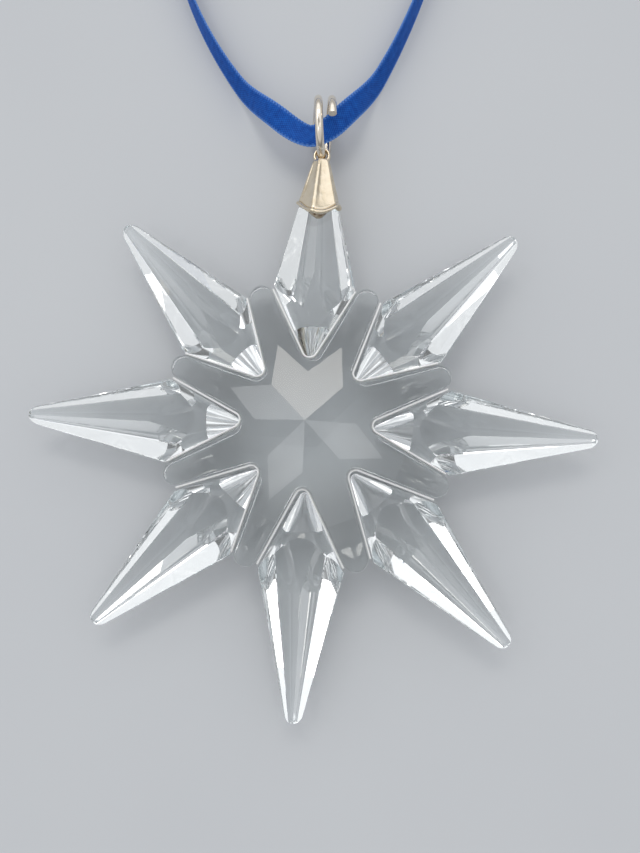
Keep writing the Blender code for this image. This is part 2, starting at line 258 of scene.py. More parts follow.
def plated_casting():
    # Cast white metal, filed lengthwise and silver plated: soft edges, fine marks from the head
    # to the mouth that draw the reflections out, and a warm tarnish in the low places
    made, tree, shader = finish_of("white_metal_cast_and_silver_plated", Metallic=1.0)
    where = grow(tree, "ShaderNodeTexCoord")
    skin = grow(tree, "ShaderNodeTexNoise", {
        "Vector": where.outputs["Object"],
        "Scale": 1.0 / (0.9 * MM),
        "Detail": 4.0,
        "Roughness": 0.55,
    })
    lengthwise = grow(tree, "ShaderNodeMapping", {
        "Vector": where.outputs["Object"],
        "Scale": (1.0, 0.12, 1.0),
    })
    filing = grow(tree, "ShaderNodeTexNoise", {
        "Vector": lengthwise.outputs["Vector"],
        "Scale": 1.0 / (0.22 * MM),
        "Detail": 3.0,
    })
    tint(tree, shader, skin.outputs["Fac"], tone("#DAC8A9"), tone("#F8EDD9"))
    dull = grow(tree, "ShaderNodeMapRange", {
        "Value": skin.outputs["Fac"],
        "From Min": 0.3,
        "From Max": 0.7,
        "To Min": 0.14,
        "To Max": 0.06,
    })
    uneven = grow(tree, "ShaderNodeBump", {
        "Height": skin.outputs["Fac"],
        "Strength": 0.5,
        "Distance": 0.06 * MM,
    })
    filed = grow(tree, "ShaderNodeBump", {
        "Height": filing.outputs["Fac"],
        "Strength": 0.5,
        "Distance": 0.025 * MM,
        "Normal": uneven.outputs["Normal"],
    })
    tree.links.new(dull.outputs["Result"], shader.inputs["Roughness"])
    tree.links.new(filed.outputs["Normal"], shader.inputs["Normal"])
    return made


def plated_wire():
    # Drawn and silver-plated wire: brighter than the casting, with fine marks from the coiling
    made, tree, shader = finish_of("wire_drawn_and_silver_plated", Metallic=1.0)
    where = grow(tree, "ShaderNodeTexCoord")
    marks = grow(tree, "ShaderNodeTexNoise", {
        "Vector": where.outputs["Object"],
        "Scale": 1.0 / (0.5 * MM),
        "Detail": 3.0,
    })
    tint(tree, shader, marks.outputs["Fac"], tone("#DCD2C3"), tone("#F5EDE0"))
    dull = grow(tree, "ShaderNodeMapRange", {
        "Value": marks.outputs["Fac"],
        "From Min": 0.3,
        "From Max": 0.7,
        "To Min": 0.05,
        "To Max": 0.14,
    })
    tree.links.new(dull.outputs["Result"], shader.inputs["Roughness"])
    return made


def satin_ribbon():
    # Woven polyester satin, piece dyed: close warp threads with a soft sheen, painted lighter on
    # their crowns and darker between them as painted highlight and shade, and lighter turned
    # edges. The threads are drawn twice as coarse as the real ones, so that they show.
    made, tree, shader = finish_of(
        "polyester_satin_dyed_with_painted_thread_shade",
        Sheen_Weight=0.4,
        Sheen_Roughness=0.35,
        Sheen_Tint=tone("#4A92FA"),
        Specular_IOR_Level=0.12,
    )
    where = grow(tree, "ShaderNodeUVMap", uv_map="UVMap")
    cut = grow(tree, "ShaderNodeSeparateXYZ", {"Vector": where.outputs["UV"]})
    warp = grow(tree, "ShaderNodeMath", {
        0: cut.outputs["X"],
        1: 2.0 * math.pi / 0.2,
    }, operation="MULTIPLY")
    warp = grow(tree, "ShaderNodeMath", {0: warp.outputs[0]}, operation="SINE")
    weft = grow(tree, "ShaderNodeMath", {
        0: cut.outputs["Y"],
        1: 2.0 * math.pi / 0.3,
    }, operation="MULTIPLY")
    weft = grow(tree, "ShaderNodeMath", {0: weft.outputs[0]}, operation="SINE")
    cross = grow(tree, "ShaderNodeMath", {
        0: warp.outputs[0],
        1: weft.outputs[0],
    }, operation="MULTIPLY")
    float_run = grow(tree, "ShaderNodeTexNoise", {
        "Vector": where.outputs["UV"],
        "Scale": 2.2,
        "Detail": 3.0,
    })
    thread = grow(tree, "ShaderNodeMath", {
        0: cross.outputs[0],
        1: 0.28,
        2: float_run.outputs["Fac"],
    }, operation="MULTIPLY_ADD")
    # Crowns of the weave painted lighter and its hollows darker: painted highlight and shade on
    # the threads, over an uneven dye from the noise
    body = grow(tree, "ShaderNodeMix", {
        0: thread.outputs[0],
        6: tone("#082F7C"),
        7: tone("#1A62C0"),
    }, data_type="RGBA")
    from_middle = grow(tree, "ShaderNodeMath", {0: cut.outputs["X"], 1: 1.0}, operation="SUBTRACT")
    from_middle = grow(tree, "ShaderNodeMath", {0: from_middle.outputs[0]}, operation="ABSOLUTE")
    edge = grow(tree, "ShaderNodeMapRange", {
        "Value": from_middle.outputs[0],
        "From Min": 0.72,
        "From Max": 0.98,
        "To Max": 0.75,
    })
    stitch = grow(tree, "ShaderNodeMapRange", {
        "Value": weft.outputs[0],
        "From Min": -0.6,
        "From Max": 0.6,
        "To Min": 0.15,
    })
    edge = grow(tree, "ShaderNodeMath", {
        0: edge.outputs["Result"],
        1: stitch.outputs["Result"],
    }, operation="MULTIPLY")
    tint(tree, shader, edge.outputs[0], body.outputs[2], tone("#7FB0F4"))
    dull = grow(tree, "ShaderNodeMapRange", {
        "Value": thread.outputs[0],
        "To Min": 0.62,
        "To Max": 0.42,
    })
    ribs = grow(tree, "ShaderNodeBump", {
        "Height": thread.outputs[0],
        "Strength": 0.5,
        "Distance": 0.04 * MM,
    })
    tree.links.new(dull.outputs["Result"], shader.inputs["Roughness"])
    tree.links.new(ribs.outputs["Normal"], shader.inputs["Normal"])
    return made


def pale_board():
    # Matt painted board, almost even
    made, tree, shader = finish_of("matt_painted_board", Roughness=0.75, Specular_IOR_Level=0.25)
    where = grow(tree, "ShaderNodeTexCoord")
    grain = grow(tree, "ShaderNodeTexNoise", {
        "Vector": where.outputs["Object"],
        "Scale": 1.0 / (30.0 * MM),
        "Detail": 3.0,
    })
    tint(tree, shader, grain.outputs["Fac"], tone("#BEC1C5"), tone("#C4C7CA"))
    return made


def put(name, mesh, *finishes):
    # New object at the origin, with its place in its mesh
    for stuff in finishes:
        mesh.materials.append(stuff)
    made = bpy.data.objects.new(name, mesh)
    bpy.context.scene.collection.objects.link(made)
    return made


def meshed(name, shape):
    mesh = bpy.data.meshes.new(name)
    shape.to_mesh(mesh)
    shape.free()
    return mesh


def plan_line(name, places, closed=False, upright=False):
    # Open or closed line of straight steps, for a path or a section
    line = bpy.data.curves.new(name, "CURVE")
    line.dimensions = "3D"
    line.twist_mode = "Z_UP" if upright else "MINIMUM"
    for run in places:
        spline = line.splines.new("POLY")
        spline.points.add(len(run) - 1)
        for point, place in zip(spline.points, run):
            point.co = (*place, 1.0)
        spline.use_cyclic_u = closed
    return put(name, line)


def node_tree(name, asked):
    # Empty Geometry Nodes tree with named inputs
    tree = bpy.data.node_groups.new(name, "GeometryNodeTree")
    tree.interface.new_socket("Geometry", in_out="OUTPUT", socket_type="NodeSocketGeometry")
    for label, kind in asked:
        tree.interface.new_socket(label, in_out="INPUT", socket_type=kind)
    return tree, grow(tree, "NodeGroupInput"), grow(tree, "NodeGroupOutput")


def end_tree(tree, asked, done, made):
    # Plain geometry in its finish, as the last step of a tree
    real = grow(tree, "GeometryNodeRealizeInstances", {"Geometry": made})
    dressed = grow(tree, "GeometryNodeSetMaterial", {
        "Geometry": real.outputs[0],
        "Material": asked.outputs["Finish"],
    })
    tree.links.new(dressed.outputs[0], done.inputs["Geometry"])
    return tree


def run_tree(name, tree, values, mesh=None):
    # Runs a tree on a mesh and keeps the result as a plain mesh
    made = put(name, mesh or bpy.data.meshes.new(name))
    step = made.modifiers.new(tree.name, "NODES")
    step.node_group = tree
    for item in tree.interface.items_tree:
        if item.name in values:
            step[item.identifier] = values[item.name]
    made.update_tag()
    bpy.context.view_layer.update()
    graph = bpy.context.evaluated_depsgraph_get()
    plain = bpy.data.meshes.new_from_object(made.evaluated_get(graph))
    made.modifiers.clear()
    made.data = plain
    return made


def face_out(shape):
    bmesh.ops.recalc_face_normals(shape, faces=shape.faces)


def turn_out(piece):
    # Faces pointing outwards all over a piece that is made already
    shape = bmesh.new()
    shape.from_mesh(piece.data)
    face_out(shape)
    shape.to_mesh(piece.data)
    shape.free()


def soften(shape, edges, offset, segments, clamp):
    # Rounds edges off, with smooth shading over the round
    made = bmesh.ops.bevel(
        shape,
        geom=edges,
        offset=offset,
        offset_type="OFFSET",
        segments=segments,
        profile=0.5,
        affect="EDGES",
        clamp_overlap=clamp,
    )
    for face in made["faces"]:
        face.smooth = True


def drop(*tools):
    for tool in tools:
        bpy.data.objects.remove(tool)


def round_star_tree():
    # Copies of one shape, turned about the star's axis one step at a time
    tree, asked, done = node_tree("copies_round_the_star", [
        ("Shape", "NodeSocketObject"),
        ("Count", "NodeSocketInt"),
        ("First turn", "NodeSocketFloat"),
        ("Step", "NodeSocketFloat"),
        ("Finish", "NodeSocketMaterial"),
    ])
    shape = grow(tree, "GeometryNodeObjectInfo", {"Object": asked.outputs["Shape"]})
    seats = grow(tree, "GeometryNodePoints", {"Count": asked.outputs["Count"]})
    number = grow(tree, "GeometryNodeInputIndex")
    turn = grow(tree, "ShaderNodeMath", {
        0: number.outputs[0],
        1: asked.outputs["Step"],
        2: asked.outputs["First turn"],
    }, operation="MULTIPLY_ADD")
    about = grow(tree, "ShaderNodeCombineXYZ", {"Z": turn.outputs[0]})
    way = grow(tree, "FunctionNodeEulerToRotation", {0: about.outputs[0]})
    copies = grow(tree, "GeometryNodeInstanceOnPoints", {
        "Points": seats.outputs[0],
        "Instance": shape.outputs["Geometry"],
        "Rotation": way.outputs[0],
    })
    return end_tree(tree, asked, done, copies.outputs[0])


def swept_tree():
    # One section drawn along a path, with closed ends
    tree, asked, done = node_tree("section_along_a_path", [
        ("Path", "NodeSocketObject"),
        ("Section", "NodeSocketObject"),
        ("Finish", "NodeSocketMaterial"),
    ])
    path = grow(tree, "GeometryNodeObjectInfo", {"Object": asked.outputs["Path"]})
    section = grow(tree, "GeometryNodeObjectInfo", {"Object": asked.outputs["Section"]})
    skin = grow(tree, "GeometryNodeCurveToMesh", {
        "Curve": path.outputs["Geometry"],
        "Profile Curve": section.outputs["Geometry"],
        "Fill Caps": True,
    })
    return end_tree(tree, asked, done, skin.outputs[0])


def selvedge_tree():
    # Turns of the weft thread set along both edges of a ribbon
    tree, asked, done = node_tree("weft_turns_along_an_edge", [
        ("Ribbon", "NodeSocketGeometry"),
        ("Edges", "NodeSocketObject"),
        ("Pitch", "NodeSocketFloat"),
        ("Turn size", "NodeSocketVector"),
        ("Finish", "NodeSocketMaterial"),
    ])
    edges = grow(tree, "GeometryNodeObjectInfo", {"Object": asked.outputs["Edges"]})
    seats = grow(tree, "GeometryNodeCurveToPoints", {
        "Curve": edges.outputs["Geometry"],
        "Length": asked.outputs["Pitch"],
    }, mode="LENGTH")
    turn = grow(tree, "GeometryNodeMeshIcoSphere", {"Radius": 1.0, "Subdivisions": 2})
    soft = grow(tree, "GeometryNodeSetShadeSmooth", {"Geometry": turn.outputs[0]})
    copies = grow(tree, "GeometryNodeInstanceOnPoints", {
        "Points": seats.outputs["Points"],
        "Instance": soft.outputs[0],
        "Rotation": seats.outputs["Rotation"],
        "Scale": asked.outputs["Turn size"],
    })
    both = grow(tree, "GeometryNodeJoinGeometry")
    tree.links.new(copies.outputs[0], both.inputs[0])
    tree.links.new(asked.outputs["Ribbon"], both.inputs[0])
    return end_tree(tree, asked, done, both.outputs[0])


def polar(radius, azimuth, height=0.0):
    return Vector((radius * math.cos(azimuth), radius * math.sin(azimuth), height))


def facet(shape, through, normal):
    # Grinds one flat face: what lies beyond the plane goes, and the cut is closed
    cut = bmesh.ops.bisect_plane(
        shape,
        geom=shape.verts[:] + shape.edges[:] + shape.faces[:],
        dist=ON_PLANE,
        plane_co=through,
        plane_no=normal,
        clear_outer=True,
    )
    edges = [e for e in cut["geom_cut"] if isinstance(e, bmesh.types.BMEdge)]
    rim = [e for e in edges if e.is_boundary]
    if rim:
        made = bmesh.ops.holes_fill(shape, edges=rim, sides=0)
        for face in made["faces"]:
            face.smooth = False


def facet_through(shape, a, b, c, inside):
    # Flat face through three places, facing away from a place inside the stone
    normal = (b - a).cross(c - a).normalized()
    if normal.dot(inside - a) > 0.0:
        normal = -normal
    facet(shape, a, normal)


def chamfer(shape, tip, edge, lean):
    # Narrow flat along an edge from the tip, square to the way it leans
    inner = edge - lean.normalized() * FACET_EDGE
    run = inner - tip
    facet(shape, tip, (lean - run * (lean.dot(run) / run.dot(run))).normalized())


def point_stone(end=None, roll=0.0):
    # Round cone with a rounded end, along X from the star's centre, then ground facet by facet
    sides, bends = 180, 8
    middle = TAIL_APEX + TAIL_ROUND / math.sin(TAIL_ANGLE)
    far = SHARP_RADIUS + 1.0 * MM
    profile = []
    for k in range(1, bends + 1):
        turn = (math.pi / 2.0 - TAIL_ANGLE) * k / bends
        profile.append((middle - TAIL_ROUND * math.cos(turn), TAIL_ROUND * math.sin(turn)))
    profile.append((far, (far - TAIL_APEX) * math.tan(TAIL_ANGLE)))
    shape = bmesh.new()
    pole = shape.verts.new((middle - TAIL_ROUND, 0.0, 0.0))
    rows = []
    for along, radius in profile:
        ring = []
        for k in range(sides):
            turn = 2.0 * math.pi * (k + 0.5) / sides
            place = along, radius * math.cos(turn), radius * math.sin(turn)
            ring.append(shape.verts.new(place))
        rows.append(ring)
    for k in range(sides):
        m = (k + 1) % sides
        shape.faces.new((pole, rows[0][m], rows[0][k])).smooth = True
        for a, b in zip(rows, rows[1:]):
            shape.faces.new((a[k], a[m], b[m], b[k])).smooth = True
    shape.faces.new(rows[-1])
    face_out(shape)

    tip = Vector((SHARP_RADIUS, 0.0, 0.0))
    heart = Vector((WAIST_RADIUS, 0.0, 0.0))
    keel = Vector((BACK_RIDGE_RADIUS, 0.0, -BACK_DEPTH))
    for side in (-HALF_WAIST, HALF_WAIST):
        rim = Vector((WAIST_RADIUS, side, GIRDLE / 2.0))
        facet_through(shape, tip, rim, tip + UP, heart)
    shoulder = Vector((WAIST_RADIUS, 0.0, TABLE_HEIGHT))
    facet_through(shape, tip, tip + Vector((0.0, HALF_WAIST, 0.0)), shoulder, heart)
    for side in (-HALF_WAIST, HALF_WAIST):
        rim = Vector((WAIST_RADIUS, side, GIRDLE / 2.0))
        brow = Vector((WAIST_RADIUS, side * (1.0 - BEVEL_WIDTH / HALF_WAIST), TABLE_HEIGHT))
        facet_through(shape, tip, rim, brow, heart)
        rim.z = -GIRDLE / 2.0
        facet_through(shape, tip, rim, keel, heart)
    facet(shape, keel, -UP)

    # Polishing takes a narrow flat off each long edge; like the facets, it runs out at the tip
    for side in (-1.0, 1.0):
        brow = Vector((WAIST_RADIUS, side * (HALF_WAIST - BEVEL_WIDTH), TABLE_HEIGHT))
        rim = Vector((WAIST_RADIUS, side * HALF_WAIST, GIRDLE / 2.0))
        foot = Vector((WAIST_RADIUS, side * HALF_WAIST, -GIRDLE / 2.0))
        for edge, (out, rise) in ((brow, BROW_LEAN), (rim, RIM_LEAN), (foot, FOOT_LEAN)):
            chamfer(shape, tip, edge, Vector((0.0, side * out, rise)))
    chamfer(shape, tip, keel, -UP)
    if end:
        facet(shape, (end, 0.0, 0.0), (1.0, 0.0, 0.0))
    else:
        middle = Vector((TIP_RADIUS - TIP_ROUND, 0.0, 0.0))
        flats = 17
        for k in range(flats):
            out = polar(1.0, (2.0 * (k + 0.5) / flats - 1.0) * (math.pi / 2.0 - TIP_ANGLE))
            facet(shape, middle + out * TIP_ROUND, out)
    # Tumbling softens the edge where the facets run out on the round tail
    edges = [
        e for e in shape.edges
        if len(e.link_faces) == 2
        and e.link_faces[0].smooth != e.link_faces[1].smooth
    ]
    soften(shape, edges, TAIL_EDGE, 2, True)
    place = Matrix.Translation(UP * MID_HEIGHT) @ Matrix.Rotation(roll, 4, "X")
    bmesh.ops.transform(shape, matrix=place, verts=shape.verts)
    face_out(shape)
    return shape


def star_plan():
    # Outline of the centre star: round-bottomed notches and round-ended arms in turn
    lean = TAIL_ANGLE - STEP / 2.0
    meet = NOTCH_APEX * math.sin(STEP / 2.0) / math.tan(lean) + NOTCH_APEX * math.cos(STEP / 2.0)
    arm_round = (meet - ARM_RADIUS) * math.sin(lean) / (1.0 - math.sin(lean))
    notch_middle = NOTCH_APEX + NOTCH_ROUND / math.sin(TAIL_ANGLE)
    steps = 18
    outline = []
    for n in range(POINTS):
        notch = math.pi / 2.0 + n * STEP
        arm = notch + STEP / 2.0
        for k in range(steps + 1):
            turn = notch + math.pi + (1.0 - 2.0 * k / steps) * (math.pi / 2.0 - TAIL_ANGLE)
            outline.append(polar(notch_middle, notch) + polar(NOTCH_ROUND, turn))
        for k in range(steps + 1):
            turn = arm + (2.0 * k / steps - 1.0) * (math.pi / 2.0 - lean)
            outline.append(polar(ARM_RADIUS - arm_round, arm) + polar(arm_round, turn))
    return outline


def upright_block(outline, low, high):
    shape = bmesh.new()
    floor = [shape.verts.new((p[0], p[1], low)) for p in outline]
    roof = [shape.verts.new((p[0], p[1], high)) for p in outline]
    shape.faces.new(list(reversed(floor)))
    shape.faces.new(roof)
    for i in range(len(outline)):
        j = (i + 1) % len(outline)
        shape.faces.new((floor[i], floor[j], roof[j], roof[i]))
    face_out(shape)
    return shape


def centre_star():
    # A square block ground facet by facet, cut to the plan, then softened round its rim
    wide = 1.5 * ARM_RADIUS
    square = [(-wide, -wide), (wide, -wide), (wide, wide), (-wide, wide)]
    shape = upright_block(square, -2.0 * MID_HEIGHT, 2.0 * PEAK_HEIGHT)
    heart = Vector((0.0, 0.0, 0.0))
    outer_height = PEAK_HEIGHT - KITE_FALL * KITE_OUTER_RADIUS
    for n in range(POINTS):
        arm = math.pi / 2.0 + (n + 0.5) * STEP
        along = polar(1.0, arm)
        facet(shape, UP * PEAK_HEIGHT, along * KITE_FALL + UP)
        outer = polar(KITE_OUTER_RADIUS, arm, outer_height)
        ridge = outer + along * ARM_RADIUS - UP * ARM_FALL * ARM_RADIUS
        for notch in (arm - STEP / 2.0, arm + STEP / 2.0):
            side = polar(KITE_SIDE_RADIUS, notch, KITE_SIDE_HEIGHT)
            facet_through(shape, outer, ridge, side, heart)
        facet(shape, polar(ARM_BACK_RADIUS, arm, -MID_HEIGHT), along * ARM_BACK_FALL - UP)
    facet(shape, -UP * MID_HEIGHT, -UP)
    bmesh.ops.translate(shape, verts=shape.verts, vec=UP * MID_HEIGHT)
    face_out(shape)
    star = put("centre_star_blank", meshed("centre_star_blank", shape))
    plan = upright_block(star_plan(), -MID_HEIGHT, 2.0 * MID_HEIGHT + PEAK_HEIGHT)
    tool = put("centre_star_plan", meshed("centre_star_plan", plan))
    step = star.modifiers.new("plan", "BOOLEAN")
    step.operation = "INTERSECT"
    step.solver = "EXACT"
    step.object = tool
    bpy.context.view_layer.update()
    graph = bpy.context.evaluated_depsgraph_get()
    cut = bpy.data.meshes.new_from_object(star.evaluated_get(graph))
    drop(star, tool)

    shape = bmesh.new()
    shape.from_mesh(cut)
    bmesh.ops.remove_doubles(shape, verts=shape.verts, dist=WELD)
    wall, level = 0.3, 0.5      # how far a normal points up on a wall at most, on a top at least
    for face in shape.faces:
        face.smooth = abs(face.normal.z) < wall

    def rim_edges(way):
        return [
            e for e in shape.edges
            if len(e.link_faces) == 2
            and sum(abs(f.normal.z) < wall for f in e.link_faces) == 1
            and any(f.normal.z * way > level for f in e.link_faces)
        ]

    for way, offset, segments in ((-1.0, BACK_RIM_ROUND, 2), (1.0, RIM_ROUND, 6)):
        soften(shape, rim_edges(way), offset, segments, False)
    face_out(shape)
    return meshed("centre_star", shape)


def notch_path():
    # Middle of the seam round one tail, on the X axis, a little under the rim of the notch
    apex = TAIL_APEX - SEAM / 2.0 / math.sin(TAIL_ANGLE)
    around = TAIL_ROUND + SEAM / 2.0
    middle = apex + around / math.sin(TAIL_ANGLE)
    run = 6.2 * MM
    bends, steps = 14, 10
    line = []
    for k in range(bends + 1):
        turn = math.pi + (1.0 - 2.0 * k / bends) * (math.pi / 2.0 - TAIL_ANGLE)
        line.append(Vector((middle, 0.0, 0.0)) + polar(around, turn))
    ends = []
    for way in (1.0, -1.0):
        ahead = polar(1.0, way * TAIL_ANGLE)
        start = line[-1 if way > 0 else 0]
        ends.append([start + ahead * run * i / steps for i in range(1, steps + 1)])
    made = []
    for p in ends[1][::-1] + line + ends[0]:
        rim = MID_HEIGHT + KITE_SIDE_HEIGHT - RIM_FALL * (p.x - KITE_SIDE_RADIUS)
        made.append(p + Vector((0.0, 0.0, rim - BEAD_DEPTH)))
    return made


def seam_section():
    # Bead of resin along the wall of the notch, rounded above and below
    half = 0.24 * SEAM
    tall = 0.2 * MM
    sides = 16
    line = []
    for k in range(sides):
        turn = 2.0 * math.pi * (k + 0.5) / sides
        rise = tall if math.sin(turn) > 0.0 else -tall
        line.append((half * math.cos(turn), rise + half * math.sin(turn), 0.0))
    return line


def sunk(share):
    # Level within a raised border: flat in the middle, steep at both ends
    return 1.0 - (2.0 * share - 1.0) ** 4


def hexagon(half, along, soft, reach=0.0, dish=0.0):
    # Six rounded corners about the upper point's axis, given half the distance across flats
    # along it. With a reach the front of the ring bows down the stone, and with a dish its
    # sides are hollow.
    steps = 12
    corner = (half(along) - soft) / math.cos(math.pi / 6.0)
    flat = []
    for k in range(6):
        turn = CAP_TURN + k * math.pi / 3.0
        for j in range(5):
            bend = turn + math.radians(-30.0 + 15.0 * j)
            flat.append(Vector((
                corner * math.sin(turn) + soft * math.sin(bend),
                corner * math.cos(turn) + soft * math.cos(bend),
            )))
        onward = turn + math.pi / 3.0
        start = flat[-1]
        end = Vector((math.sin(onward), math.cos(onward))) * corner
        end += Vector((math.sin(bend), math.cos(bend))) * soft
        out = Vector((math.sin(turn + math.pi / 6.0), math.cos(turn + math.pi / 6.0)))
        for j in range(1, steps):
            flat.append(start.lerp(end, j / steps) - out * dish * sunk(j / steps))
    ring = []
    for p in flat:
        front = max(0.0, p.y / p.length)
        place = along - reach * front * front
        p = p * half(place) / half(along)
        ring.append(Vector((p.x, place, MID_HEIGHT + p.y)))
    return ring


def skin_over(shape, rings, closed=False):
    # Faces over rings of equal count; an open run gets a flat face at each end
    rows = [[shape.verts.new(p) for p in ring] for ring in rings]
    count = len(rows[0])
    pairs = list(zip(rows, rows[1:]))
    if closed:
        pairs.append((rows[-1], rows[0]))
    for a, b in pairs:
        for k in range(count):
            m = (k + 1) % count
            shape.faces.new((a[k], a[m], b[m], b[k])).smooth = True
    if not closed:
        shape.faces.new(list(reversed(rows[0])))
        shape.faces.new(rows[-1])
    return rows


def outside(more):
    # Half the cap's width across flats along it, and as much more
    edge = (SHARP_RADIUS - CAP_MOUTH) * math.tan(TIP_ANGLE)
    mouth = (edge + CAP_WALL) * math.cos(math.pi / 6.0)
    taper = (mouth - CAP_HEAD_WIDTH / 2.0) / (CAP_HEAD - CAP_MOUTH)
    return lambda along: mouth - (along - CAP_MOUTH) * taper + more


def stone_reach(across, along):
    # From the capped stone's axis to its faces, in a direction across it
    if along > UPPER_END:
        return RESIN_CORE
    keel = BACK_DEPTH * (SHARP_RADIUS - WAIST_RADIUS) / (SHARP_RADIUS - BACK_RIDGE_RADIUS)
    corners = [
        (0.0, TABLE_HEIGHT),
        (HALF_WAIST - BEVEL_WIDTH, TABLE_HEIGHT),
        (HALF_WAIST, GIRDLE / 2.0),
        (HALF_WAIST, -GIRDLE / 2.0),
        (0.0, -keel),
    ]
    turn = math.atan2(across.y, -across.x) - UPPER_ROLL
    side, rise = abs(math.cos(turn)), math.sin(turn)
    reach = []
    for a, b in zip(corners, corners[1:]):
        out = (a[1] - b[1], b[0] - a[0])
        facing = out[0] * side + out[1] * rise
        if facing > 0.0:
            reach.append((out[0] * a[0] + out[1] * a[1]) / facing)
    return min(reach) * (SHARP_RADIUS - along) / (SHARP_RADIUS - WAIST_RADIUS)


def cap_filling():
    # Resin from the cap's wall down to the stone: hollow in between, and crept a little way
    # down the stone
    deep, hollow, creep = 0.5 * MM, 0.15 * MM, 0.2 * MM
    into_wall, off_stone = 0.03 * MM, 0.02 * MM
    steps = 10
    rim = hexagon(outside(-CAP_WALL), CAP_MOUTH + 0.5 * CAP_LIP, INNER_CORNER, CAP_REACH)
    rings = []
    for k in range(steps + 1):
        share = k / steps
        ring = []
        for place in rim:
            across = Vector((place.x, place.z - MID_HEIGHT))
            wall = across.length + into_wall
            down = place.y - creep * share ** 2
            stone = stone_reach(across, down) + off_stone
            out = across.normalized() * (wall + (stone - wall) * share)
            along = down + hollow * math.sin(math.pi * share)
            ring.append(Vector((out.x, along, MID_HEIGHT + out.y)))
        rings.append(ring)
    for ring in (rings[-1], rings[0]):
        rings.append([p + Vector((0.0, deep, 0.0)) for p in ring])
    shape = bmesh.new()
    skin_over(shape, rings, closed=True)
    face_out(shape)
    return meshed("cap_filling", shape)


def cap():
    # Six-sided casting with a rolled lip that bows down in front, and a round eye at its end
    lip_steps, side_steps, head_steps = 8, 24, 4
    quarter = 4.4               # head steps to a quarter turn, so that a small flat is left
    rings = [
        hexagon(outside(-CAP_WALL), CAP_MOUTH + CAP_GAP, BOTTOM_CORNER),
        hexagon(outside(-CAP_WALL), CAP_MOUTH + 0.3 * CAP_LIP, INNER_CORNER, CAP_REACH),
    ]
    for k in range(lip_steps + 1):
        turn = math.pi * k / lip_steps
        more = (0.5 * CAP_WALL + CAP_LIP_OUT) * math.sin(turn) - 0.5 * CAP_WALL
        along = CAP_MOUTH + CAP_LIP / 2.0 * (1.0 - math.cos(turn))
        rings.append(hexagon(outside(more), along, LIP_CORNER, CAP_REACH))
    lip_top = CAP_MOUTH + CAP_LIP
    for k in range(side_steps + 1):
        share = k / side_steps
        along = lip_top + (CAP_HEAD - lip_top) * share
        reach, dish = CAP_REACH * (1.0 - share), CAP_DISH * sunk(share)
        rings.append(hexagon(outside(0.0), along, CAP_CORNER, reach, dish))
    for k in range(1, head_steps + 1):
        turn = math.pi / 2.0 * k / quarter
        top = CAP_HEAD_WIDTH / 2.0 * math.cos(turn)
        height = CAP_HEAD + CAP_CORNER * math.sin(turn)
        rings.append(hexagon(lambda along: top, height, CAP_CORNER * math.cos(turn)))
    shape = bmesh.new()
    skin_over(shape, rings)
    middle = EYE_HOLE + EYE_WALL / 2.0
    thick = 0.8 * EYE_THICK     # a little thinner than the solid
    turns, bends = 48, 16
    rings = []
    for k in range(turns):
        turn = 2.0 * math.pi * k / turns
        ring = []
        for j in range(bends):
            bend = 2.0 * math.pi * j / bends
            out = middle + EYE_WALL / 2.0 * math.cos(bend)
            ring.append(EYE + polar(out, turn, thick / 2.0 * math.sin(bend)))
        rings.append(ring)
    skin_over(shape, rings, closed=True)
    face_out(shape)
    return meshed("cap_casting", shape)


def ring_line(turn):
    # Middle of the ring's wire, which winds on past one round
    across = -RING_PITCH * turn / (2.0 * math.pi)
    along = RING_RADIUS * (1.0 - math.cos(turn))
    return EYE + Vector((across, along, RING_RADIUS * math.sin(turn)))


def ribbon_width_way(ahead, lean):
    # Across the ribbon: level, or leaning up on its edge
    level = UP.cross(ahead).normalized()
    return level * math.cos(lean) + ahead.cross(level) * math.sin(lean)


def ribbon_leg(out, back):
    # One leg on a smooth curve from the ring to just short of the knot, and its run on into it
    stride, steps, inner_steps = 0.001, 200, 24
    a = Vector((HOOK.x, HOOK.y, 0.0))
    d = Vector((KNOT.x, KNOT.y, 0.0))
    b = a + Vector(out)
    c = d + Vector(back)

    def station(t):
        s = 1.0 - t
        place = a * s ** 3 + b * (3.0 * s * s * t) + c * (3.0 * s * t * t) + d * t ** 3
        away = (place - a).length
        sink = min(1.0, max(0.0, away / RING_RADIUS - SINK_START) / SINK_RUN)
        sink = sink * sink * (3.0 - 2.0 * sink)
        place.z = RIBBON_HIGH + (RIBBON_LOW - RIBBON_HIGH) * sink
        return place, RIBBON_LEAN * away ** 2 / (away ** 2 + RIBBON_TWIST ** 2)

    def clear_of_knot(t):
        place, lean = station(t)
        ahead = (place - station(t - stride)[0]).normalized()
        wide = ribbon_width_way(ahead, lean) * RIBBON_WIDTH / 2.0
        for share in (-1.0, -0.5, 0.0, 0.5, 1.0):
            away = place + wide * share - KNOT
            if sum((away[i] / (KNOT_HALF[i] + KNOT_GAP)) ** 2 for i in range(3)) < 1.0:
                return False
        return True

    last = 1.0
    while not clear_of_knot(last):
        last -= stride
    leg = [station(last * i / steps) for i in range(steps + 1)]
    inner = [station(last + (1.0 - last) * i / inner_steps) for i in range(inner_steps + 1)]
    return leg, inner


def frames_along(line):
    # Place, width direction and face direction at each station
    made = []
    for i, (place, lean) in enumerate(line):
        before = line[max(i - 1, 0)][0]
        after = line[min(i + 1, len(line) - 1)][0]
        ahead = (after - before).normalized()
        wide = ribbon_width_way(ahead, lean)
        made.append((place, wide, ahead.cross(wide)))
    return made


